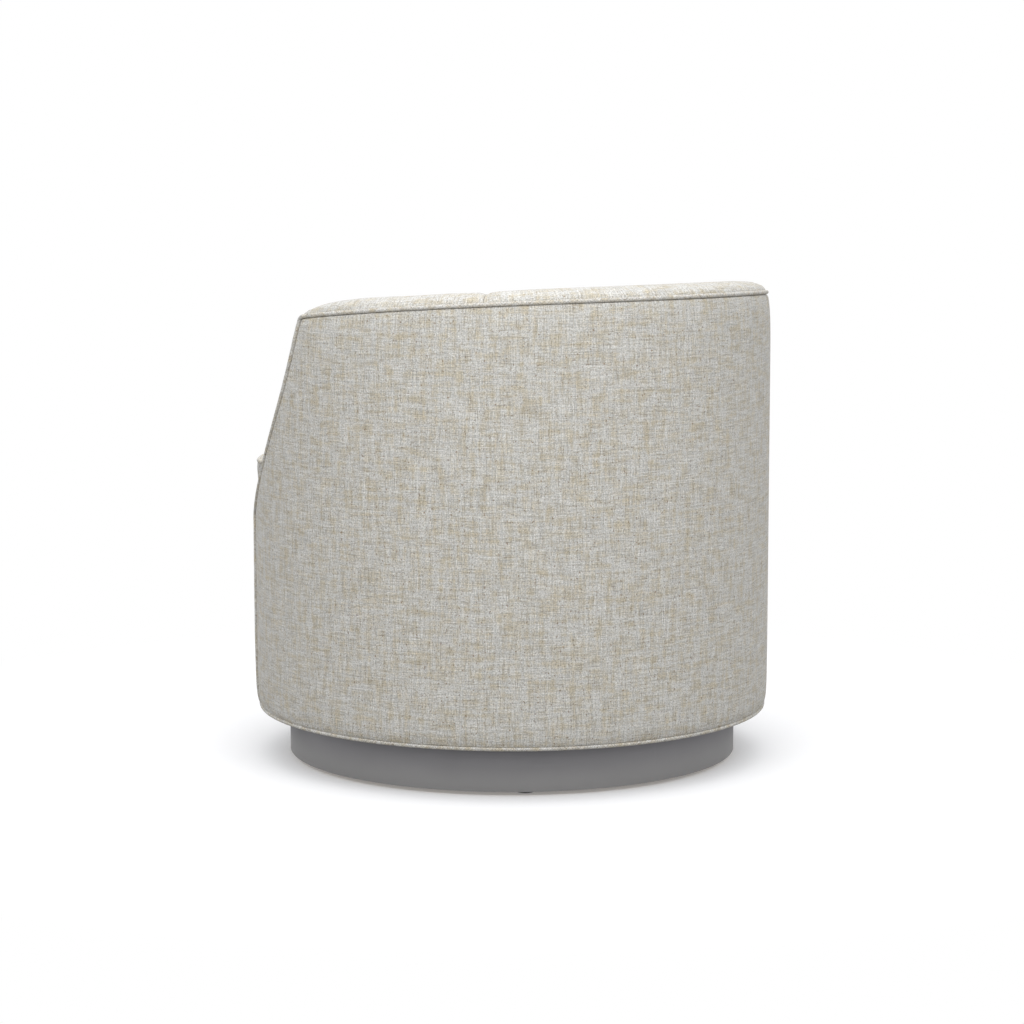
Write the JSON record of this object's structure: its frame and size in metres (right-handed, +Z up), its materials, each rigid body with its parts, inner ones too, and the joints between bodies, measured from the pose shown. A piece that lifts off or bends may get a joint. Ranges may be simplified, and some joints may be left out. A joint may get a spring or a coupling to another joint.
{
  "type": "swivel barrel chair",
  "caption": "Round upholstered chair whose wrap-around back and arms turn on a low plinth, with welted edges and a loose seat cushion.",
  "frame": {"origin": "on the floor under the swivel axis, which is the bottom centre of the chair's box", "axes": "+Z up along the swivel axis, the seat faces -Y, +X towards the sitter's left"},
  "size_m": [0.7992, 0.7934, 0.7385],
  "materials": {
    "cover_fabric": "oatmeal linen-look melange weave with slubs",
    "deck_cloth": "unbleached cotton lining cloth",
    "cambric": "black non-woven lining cloth",
    "plinth_steel": "grey steel sheet brushed along its length",
    "zinc_steel": "bright zinc plated",
    "spring_steel": "oiled spring wire",
    "birch_ply": "bare birch plywood",
    "beech": "bare planed beech",
    "fibreboard": "bare thin hardboard",
    "glide_nylon": "black moulded nylon"
  },
  "bodies": {
    "base": {"plinth_band": "plinth_steel", "plinth_hoop": "birch_ply", "plinth_foot_ring": "birch_ply", "plinth_top_board": "birch_ply", "swivel_lower_plate": "zinc_steel", "floor_glide_1": "glide_nylon", "floor_glide_2": "glide_nylon", "floor_glide_3": "glide_nylon", "floor_glide_4": "glide_nylon", "lower_screw_1": "zinc_steel", "lower_screw_2": "zinc_steel", "lower_screw_3": "zinc_steel", "lower_screw_4": "zinc_steel"},
    "ball_ring": {"swivel_ball_ring": "zinc_steel"},
    "seat": {"swivel_upper_plate": "zinc_steel", "upper_bolt_1": "zinc_steel", "upper_bolt_2": "zinc_steel", "upper_bolt_3": "zinc_steel", "upper_bolt_4": "zinc_steel", "seat_base_board": "birch_ply", "top_rail": "birch_ply", "seat_hoop": "beech", "front_seat_rail": "beech", "back_spring_rail": "beech", "front_spring_rail": "beech", "back_post_left": "beech", "back_post_right": "beech", "arm_post_left": "beech", "arm_post_right": "beech", "front_post_left": "beech", "front_post_right": "beech", "outside_board": "fibreboard", "inside_board": "fibreboard", "front_board": "fibreboard", "seat_spring_1": "spring_steel", "seat_spring_2": "spring_steel", "seat_spring_3": "spring_steel", "seat_spring_4": "spring_steel", "back_spring_clip_1": "zinc_steel", "back_spring_clip_2": "zinc_steel", "back_spring_clip_3": "zinc_steel", "back_spring_clip_4": "zinc_steel", "front_spring_clip_1": "zinc_steel", "front_spring_clip_2": "zinc_steel", "front_spring_clip_3": "zinc_steel", "front_spring_clip_4": "zinc_steel", "deck_pad": "deck_cloth", "dust_cover": "cambric", "inside_back_pad": "cover_fabric", "inside_arm_pad_left": "cover_fabric", "inside_arm_pad_right": "cover_fabric", "arm_front_pad_left": "cover_fabric", "arm_front_pad_right": "cover_fabric", "outside_cover": "cover_fabric", "front_cover": "cover_fabric", "rim_welt": "cover_fabric", "hem_welt": "cover_fabric"},
    "cushion": {"seat_cushion": "cover_fabric", "cushion_upper_welt": "cover_fabric", "cushion_lower_welt": "cover_fabric"}
  },
  "joints": [
    {"name": "swivel", "type": "hinge", "parent": "base", "child": "seat", "pos_m": [0, 0, 0.0676], "axis": [0, 0, 1], "continuous": true},
    {"name": "ball_ring_turn", "type": "hinge", "parent": "base", "child": "ball_ring", "pos_m": [0, 0, 0.0676], "axis": [0, 0, 1], "continuous": true},
    {"name": "cushion_lift", "type": "slide", "parent": "seat", "child": "cushion", "axis": [0, 0, 1], "range_m": [0, 0.25]}
  ],
  "couplings": [
    {"joint": "ball_ring_turn", "follows": "swivel", "ratio": 0.5}
  ]
}
